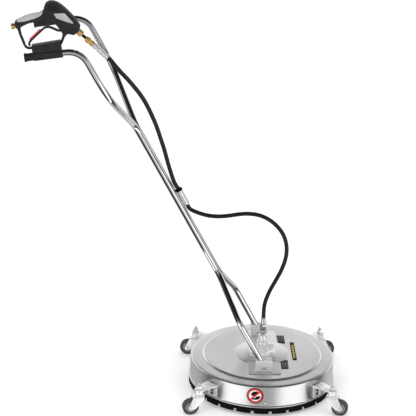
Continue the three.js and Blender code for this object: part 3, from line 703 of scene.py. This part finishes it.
# ------------------------------------------------------------------ handle
TUBE_RADIUS = 9.5
CLOSE_Y = 12.5
CLOSE_START = 172
CLOSE_END = 296
SPREAD_START = 846
SPREAD_END = 1012
GRIP_HALF = 62
slope = math.tan(GRIP_ANGLE)
rise_to_grip = GRIP.z + (HINGE.x - GRIP.x) * slope - HINGE.z
bend = rise_to_grip / (math.cos(LEAN_ANGLE) + math.sin(LEAN_ANGLE) * slope)
for side, place in ((-1, "near"), (1, "far")):
    end = Vector((GRIP.x - GRIP_HALF * math.cos(GRIP_ANGLE), side * GRIP.y,
                  GRIP.z - GRIP_HALF * math.sin(GRIP_ANGLE)))
    corners = [lean_point(*p) for p in (
        (-7, side * HINGE_Y), (CLOSE_START, side * HINGE_Y), (CLOSE_END, side * CLOSE_Y),
        (SPREAD_START, side * CLOSE_Y), (SPREAD_END, side * GRIP.y), (bend, side * GRIP.y))]
    corners.append(end)
    path = bent_path(corners, [60, 60, 60, 150, 60])
    tube = [swept(path, circle(TUBE_RADIUS, steps=56))]
    if side < 0:
        for along in (330, 660, 790):
            weld = DISC.inverted() @ LEAN @ shift(0, -1.8, along)
            tube.append(moved(block(-3, 3, -4.5, 4.5, -10, 10, 1.2), weld))
    add(f"tube_{place}", joined(*tube), CHROME, "handle",
        replaces=(f"handle_tube_{place}",))

guide = joined(
    moved(ring(7.5, 10, GUIDE_LOW, GUIDE_HIGH, 0.6), shift(GUIDE_OFFSET)),
    block(-6, GUIDE_OFFSET - 8, -2, 2, GUIDE_LOW + 8, GUIDE_HIGH - 8, 0.6),
)
add("guide", guide, SATIN, "handle", LEAN, replaces=("hose_guide",))
grommet = turned([(6.6, 594), (9.6, 594), (9.6, 597.2), (11.4, 597.6), (11.4, 602), (9.8, 604),
                  (6.6, 604)], 48, True)
add("guide_grommet", moved(grommet, shift(GUIDE_OFFSET)), RUBBER, "handle", LEAN)

# an end flange, then fine ribs along the grip
GRIP_PROFILE = ([(0, -66), (11.6, -66), (12.8, -65), (13, -64), (13, -61.4), (12.2, -60.2),
                 (11.3, -59.6)]
                + [(11.3 + 0.2 * (k % 2), -58 + 2 * k) for k in range(50)]
                + [(11.3, 43), (10.6, 44), (9.8, 44)])
along_x = turn(math.pi / 2, "Y")
for place, matrix in (("near", GUN), ("far", FAR_GRIP)):
    add(f"handgrip_{place}", moved(turned(GRIP_PROFILE, 64), along_x), GRIP_BLACK, "handle",
        matrix, replaces=(f"grip_{place}",), angle=60)

# ------------------------------------------------------------------ gun, drawn in its own X and Z
SIDE = turn(math.pi / 2, "X")


def profile_plate(outlines, y0, y1, bevel=1.0, rounds=3):
    """A plate whose outline is drawn in X and Z, between y0 and y1."""
    return moved(slab(outlines, -y1, -y0, bevel, rounds), SIDE)


GUN_BODY = [
    (-74, 88), (-77, 105), (-73, 110.5), (-60, 114), (-45, 119.5), (-24, 122.5), (-7, 123), (9, 128),
    (13, 141), (19, 149.5), (28, 153.5), (38, 153), (49, 148.5), (60, 140), (74, 124), (92, 99),
    (106, 72), (102, 62), (89, 52), (84, 49), (79, 51), (67, 55), (62, 51), (57, 46), (51, 48),
    (53, 56), (49, 66), (44, 75), (40, 83), (34, 91), (27, 97), (10, 101), (-35, 100), (-49, 96),
    (-59, 92), (-64, 87),
]
GUARD = [
    (-73, 92), (-69, 67), (-62, 36), (-58, 28), (-50, 23), (40, 23), (47, 27), (58, 46),
    (58, 54), (51, 54), (50, 48), (41, 31), (37, 29), (-50, 29), (-56, 35), (-58, 50),
    (-63, 69), (-63, 92),
]
REAR_INLAY = [
    (-70, 111.6), (-60, 114.4), (-45, 119.9), (-24, 122.9), (-7, 123.4), (8, 128.3), (6, 122),
    (-2, 116), (-17, 111.5), (-41, 107.5), (-58, 106.5), (-67, 108),
]
SIDE_INLAY = [(37, 119), (68, 116), (89, 84), (84, 84), (57, 97), (43, 105)]
GUN_HALF = 13
PLUG_Z = 95
PIVOT = (53, 0, 66)
body_outline = rounded(GUN_BODY, 6, 4)
guard_outline = rounded(GUARD, 5, 4)
rear_inlay = rounded(REAR_INLAY, 3, 4)
side_inlay = rounded(SIDE_INLAY, 2, 3)
for side, place in ((-1, "near"), (1, "far")):
    outer = sorted((side * 0.2, side * GUN_HALF))
    thin = sorted((side * 0.2, side * 5))
    shell = joined(profile_plate([body_outline], *outer, 2.6, 4),
                   profile_plate([guard_outline], *thin, 1.4))
    add(f"shell_{place}", shell, GUN_BLACK, "handle", GUN,
        replaces=(f"gun_shell_{place}",))
    face = sorted((side * 12.7, side * 13.15))
    wrap = sorted((side * 0.4, side * 13.3))
    inlays = joined(profile_plate([rear_inlay], *wrap, 1.2),
                    profile_plate([side_inlay], *face, 0.2, 1))
    add(f"gun_inlay_{place}", inlays, INLAY, "handle", GUN)
    # the vents are not cut: thin near-black patches lie on the shell, painted shade standing for the
    # shade inside the vent slots
    vent_shade_patches = []
    vent_shade_span = sorted((side * 12.6, side * 13.1))
    for x in (28, 34, 40, 46):
        top = 144 - (x - 28) * 0.35
        slant = [(x - 1.5, 126), (x + 1.5, 126), (x + 1.5, top), (x - 1.5, top)]
        vent_shade_patches.append(profile_plate([rounded(slant, 1.2, 3)], *vent_shade_span, 0.2, 1))
    add(f"gun_vent_shade_{place}", joined(*vent_shade_patches), LABEL_BLACK, "handle", GUN)
    screw = joined(ring(1.6, 3.2, 0, 1.3, 0.3, 32), rod(1.7, 0, 0.7, 0.2, 24))
    outwards = turn(-side * math.pi / 2, "X")
    screws = [moved(screw, shift(x, side * 12.4, z) @ outwards)
              for x, z in ((-66, 99), (28, 108), (66, 66), (22, 141), (93, 66))]
    add(f"gun_screws_{place}", joined(*screws), GUN_BLACK, "handle", GUN)

trigger_line = smooth_path([
    PIVOT, (46, 0, 65.6), (39, 0, 67.5), (27, 0, 75), (17, 0, 80), (5, 0, 79.5), (-5, 0, 73),
    (-39, 0, 48), (-44.5, 0, 43), (-46, 0, 37.5), (-45, 0, 33),
], 2)
bar_section = [(-4, -2.8), (4, -2.8), (4.5, -2.3), (4.5, 2.3), (4, 2.8), (-4, 2.8), (-4.5, 2.3),
               (-4.5, -2.3)]
pivot_turn = shift(*PIVOT) @ turn(math.pi / 2, "X")
trigger_shape = joined(swept(trigger_line, bar_section), moved(rod(5, -4.5, 4.5), pivot_turn))
add("trigger_lever", trigger_shape, GUN_BLACK, "trigger_bar", GUN,
    replaces=("trigger",))
latch = moved(block(-21, 21, -3.8, 3.8, 3.1, 6.6, 0.9),
              shift(-23, 0, 59.8) @ turn(math.radians(-36.3), "Y"))
add("latch", latch, RED, "trigger_latch", GUN, replaces=("trigger_lock",))
add("trigger_axle", moved(rod(2, -10, 10), pivot_turn), SATIN, "handle", GUN,
    replaces=("trigger_pin",))

clamp = joined(
    profile_plate([rounded([(-40, 11), (43, 11), (43, 37), (-40, 34)], 1.5, 3)], -14, 14, 1.0),
    profile_plate([rounded([(-40, -3), (43, -3), (43, 9.6), (-40, 9.6)], 1.0, 3)], -14, 14, 0.8),
    moved(rod(13.2, -40, 43, 0.8, 64), along_x),
)
add("clamp", clamp, GUN_BLACK, "handle", GUN, replaces=("gun_clamp",))
plug = moved(joined(rod(8.5, -88, -78.5, 1.2), rod(6, -79, -75)), shift(0, 0, PLUG_Z) @ along_x)
add("inlet_plug", plug, BRASS, "handle", GUN, replaces=("gun_inlet",))
add("outlet_nut", joined(hexagon(9.8, -9.8, 4), rod(8, 3.6, 5, 0.4)), BRASS, "handle", BARREL,
    replaces=("gun_outlet",))
add("outlet_nipple", rod(4.2, 4.5, 19.2, 0.4), RUBBER, "handle", BARREL)
add("coupler", joined(rod(7.3, 19.3, 40), hexagon(8.6, 37, 47)), BRASS, "handle",
    BARREL, replaces=("quick_coupler",))
KNURLS = 30
knurl = block(8.7, 9.2, -0.25, 0.25, 25.5, 30.5, 0.1)
collar = joined(ring(7.6, 9, 24, 32),
                *[moved(knurl, turn(TAU * k / KNURLS)) for k in range(KNURLS)])
add("coupler_ring_piece", collar, BRASS, "coupler_ring", BARREL,
    replaces=("coupler_sleeve",))
ferrule = joined(hexagon(8.1, 47.3, 60), rod(5.5, 59, 67), crimped(66, 103.7, 8.2))
add("ferrule_top", ferrule, SATIN, "handle", BARREL, replaces=("hose_ferrule_upper",))

# ------------------------------------------------------------------ labels, generic
def panel_label(name, outline):
    film = slab([rounded(outline, 2, 3)], PANEL_TOP - 0.3, PANEL_TOP + 0.35, 0.1, 1)
    add(name, film, LABEL_BLACK, "base")


def panel_print(outline):
    """A printed mark, a little above the label's film."""
    return slab([outline], PANEL_TOP, PANEL_TOP + 0.6, 0.1, 1)


panel_label("label_long", [(94, -54), (108, -54), (108, 76), (94, 76)])
marks = [panel_print([(98, y), (104, y + 3), (104, y + 9), (98, y + 6)])
         for y in range(-38, 56, 12)]
add("label_long_marks", joined(*marks), LABEL_YELLOW, "base")
panel_label("label_back", [(56, 72), (79, 64), (79, 126), (55, 126)])
panel_label("label_front", [(54, -118), (77, -114), (78, -51), (54, -66)])
lines = []
for y0, y1 in ((80, 122), (-110, -70)):
    for x in (59, 64, 69, 74):
        lines.append(panel_print([(x, y0), (x + 1.3, y0), (x + 1.3, y1), (x, y1)]))
add("label_lines", joined(*lines), LABEL_GREY, "base")

rivet = moved(rod(3.2, 0, 1.4, 0.7, 32), shift(-1.5, -WALL, 47) @ turn(math.pi / 2, "X"))
add("wall_rivet", rivet, SATIN, "base")

WALL_LABEL = DISC @ turn(math.radians(-8.6)) @ shift(0, -WALL, 71.5)
BAR_HALF = 20.8
BAR_WIDTH = 4.8
BAR_STEPS = 12


def wrapped(shape):
    """Bends a flat label, drawn in X and Y, round the housing wall."""
    points, faces = shape
    result = []
    for x, y, z in points:
        angle = x / WALL
        radius = WALL + z
        result.append((radius * math.sin(angle), WALL - radius * math.cos(angle), y))
    return result, faces


def fine_disc(radius, inner=0.0, thick=0.3):
    rings = [inner + (radius - inner) * k / 6 for k in range(7)]
    profile = [(r, thick) for r in rings] + [(radius, 0)]
    return turned(profile, 72)


def wall_label(name, shape, look):
    add(name, wrapped(shape), look, "base", WALL_LABEL)


wall_label("wall_label", fine_disc(24.5), LABEL_WHITE)
wall_label("wall_label_edge", fine_disc(26.4, 24.2, 0.45), LABEL_BLACK)
wall_label("wall_label_ring", fine_disc(24.4, 18.6, 0.5), LABEL_RED)
bar_points = []
for k in range(BAR_STEPS + 1):
    t = -BAR_HALF + 2 * BAR_HALF * k / BAR_STEPS
    for w in (-BAR_WIDTH / 2, BAR_WIDTH / 2):
        bar_points.append(((t - w) * math.sqrt(0.5), (t + w) * math.sqrt(0.5), 1.1))
bar_faces = [[2 * k, 2 * k + 1, 2 * k + 3, 2 * k + 2] for k in range(BAR_STEPS)]
wall_label("wall_label_bar", (bar_points, bar_faces), LABEL_RED)
marks_high = [(-14, 1), (-8, 13), (6, 16), (14, 10), (8, 4), (-4, -1)]
marks_low = [(3, -3), (15, 1), (16, -7), (8, -13), (-8, -14), (-13, -9), (0, -8)]
mark = [slab([rounded(outline, 2, 3)], 0.5, 0.95, 0.05, 1) for outline in (marks_high, marks_low)]
wall_label("wall_label_mark", joined(*mark), LABEL_BLACK)

# ------------------------------------------------------------------ floor, light and surroundings
def staged_sheet(name, corners, level):
    """A flat rough sheet of one grey in the studio, and its shader. It is no part of the machine."""
    mesh = bpy.data.meshes.new(name)
    mesh.from_pydata(corners, [], [[0, 1, 2, 3]])
    look = bpy.data.materials.new(name)
    look.use_nodes = True
    shader = look.node_tree.nodes["Principled BSDF"]
    shader.inputs["Base Color"].default_value = (*grey(level), 1)
    shader.inputs["Roughness"].default_value = 0.9
    mesh.materials.append(look)
    sheet = bpy.data.objects.new(name, mesh)
    bpy.context.scene.collection.objects.link(sheet)
    return sheet, shader


FLOOR_HALF = 20
floor_corners = [(-FLOOR_HALF, -FLOOR_HALF, 0), (FLOOR_HALF, -FLOOR_HALF, 0),
                 (FLOOR_HALF, FLOOR_HALF, 0), (-FLOOR_HALF, FLOOR_HALF, 0)]
floor, floor_shader = staged_sheet("floor", floor_corners, 0.92)
floor_shader.inputs["Specular IOR Level"].default_value = 0
floor_shader.inputs["Emission Color"].default_value = (1, 1, 1, 1)
floor_shader.inputs["Emission Strength"].default_value = 0.15
floor.visible_glossy = False

world = bpy.data.worlds.new("studio")
bpy.context.scene.world = world
world.use_nodes = True
tree = world.node_tree
background = tree.nodes["Background"]
direction = tree.nodes.new("ShaderNodeTexCoord").outputs["Generated"]
split = tree.nodes.new("ShaderNodeSeparateXYZ")
tree.links.new(direction, split.inputs["Vector"])


def world_math(operation, a, b=0.0):
    node = tree.nodes.new("ShaderNodeMath")
    node.operation = operation
    for socket, value in zip(node.inputs, (a, b)):
        if isinstance(value, (int, float)):
            socket.default_value = value
        else:
            tree.links.new(value, socket)
    return node.outputs["Value"]


def world_ramp(value, stops):
    node = tree.nodes.new("ShaderNodeValToRGB")
    ramp = node.color_ramp
    while len(ramp.elements) < len(stops):
        ramp.elements.new(0.5)
    for element, (position, level) in zip(ramp.elements, stops):
        element.position = position
        element.color = (level, level, level, 1)
    tree.links.new(value, node.inputs["Fac"])
    return node.outputs["Color"]


def world_mix(factor, one, two, blend="MIX"):
    node = tree.nodes.new("ShaderNodeMix")
    node.data_type = "RGBA"
    node.blend_type = blend
    for socket, value in (("Factor", factor), ("A", one), ("B", two)):
        if isinstance(value, (float, tuple)):
            node.inputs[socket].default_value = value
        else:
            tree.links.new(value, node.inputs[socket])
    return node.outputs["Result"]


azimuth = world_math("ARCTAN2", split.outputs["X"], world_math("MULTIPLY", split.outputs["Y"], -1))
around = world_math("ADD", world_math("DIVIDE", azimuth, TAU), 0.5)
# round the horizon: 0.5 is the photographer's side, 0 and 1 the far side, 0.75 the right.
# the bands, seen only mirrored, stand for softboxes and dark gaps: one set low, one high
low_bands = world_ramp(around, [
    (0.0, 0.5), (0.17, 0.4), (0.24, 0.05), (0.3, 0.05), (0.33, 1.5), (0.42, 1.3), (0.455, 0.42),
    (0.545, 0.42), (0.59, 1.3), (0.69, 1.4), (0.72, 0.02), (0.78, 0.02), (0.84, 0.6),
])
high_bands = world_ramp(around, [
    (0.0, 1.2), (0.19, 1.1), (0.25, 0.2), (0.29, 0.2), (0.33, 0.8), (0.38, 0.2), (0.64, 0.2),
    (0.68, 0.8), (0.72, 0.05), (0.78, 0.05), (0.83, 1.1),
])
rise = world_ramp(world_math("ADD", split.outputs["Z"], 0.5), [(0.5, 0.0), (0.62, 1.0)])
bands = world_mix(rise, low_bands, high_bands)
height = world_ramp(split.outputs["Z"], [(0.0, 1.0), (0.4, 1.1), (0.52, 0.1), (1.0, 0.03)])
mirrored = world_mix(1.0, bands, height, "MULTIPLY")
glossy = tree.nodes.new("ShaderNodeLightPath").outputs["Is Glossy Ray"]
tree.links.new(world_mix(glossy, (0.95, 0.95, 0.95, 1), mirrored), background.inputs["Color"])
background.inputs["Strength"].default_value = 1.0


def softbox(name, position, target, size, power):
    light = bpy.data.lights.new(name, "AREA")
    light.shape = "RECTANGLE"
    light.size, light.size_y = size
    light.energy = power
    holder = bpy.data.objects.new(name, light)
    bpy.context.scene.collection.objects.link(holder)
    holder.location = position
    aim = Vector(target) - Vector(position)
    holder.rotation_euler = aim.to_track_quat("-Z", "Y").to_euler()
    holder.visible_glossy = False


# a dark board beside the handle, as a studio flag: it is only seen mirrored in the plating
FLAG_REACH = 0.45
flag_centre = DISC.to_translation() * MM + lean_point(620, 0) * MM
flag_along = Vector((-math.sin(LEAN_ANGLE), 0, math.cos(LEAN_ANGLE)))
flag_out = Vector((-0.685, -0.622, -0.378)).normalized()
flag_side = flag_along.cross(flag_out).normalized()
flag_corners = [flag_centre + flag_out * FLAG_REACH + flag_along * a + flag_side * b
                for a, b in ((-0.4, -0.22), (0.5, -0.22), (0.5, 0.22), (-0.4, 0.22))]
flag, _ = staged_sheet("flag_board", flag_corners, 0.01)
flag.visible_camera = False
flag.visible_diffuse = False
flag.visible_shadow = False

softbox("key_light", (-2.5, -3.0, 3.5), (0, 0, 0.4), (2.5, 2.5), 45)
softbox("fill_light", (3.0, -2.0, 2.5), (0, 0, 0.4), (2.5, 2.5), 25)
bpy.context.scene.view_settings.view_transform = "Standard"
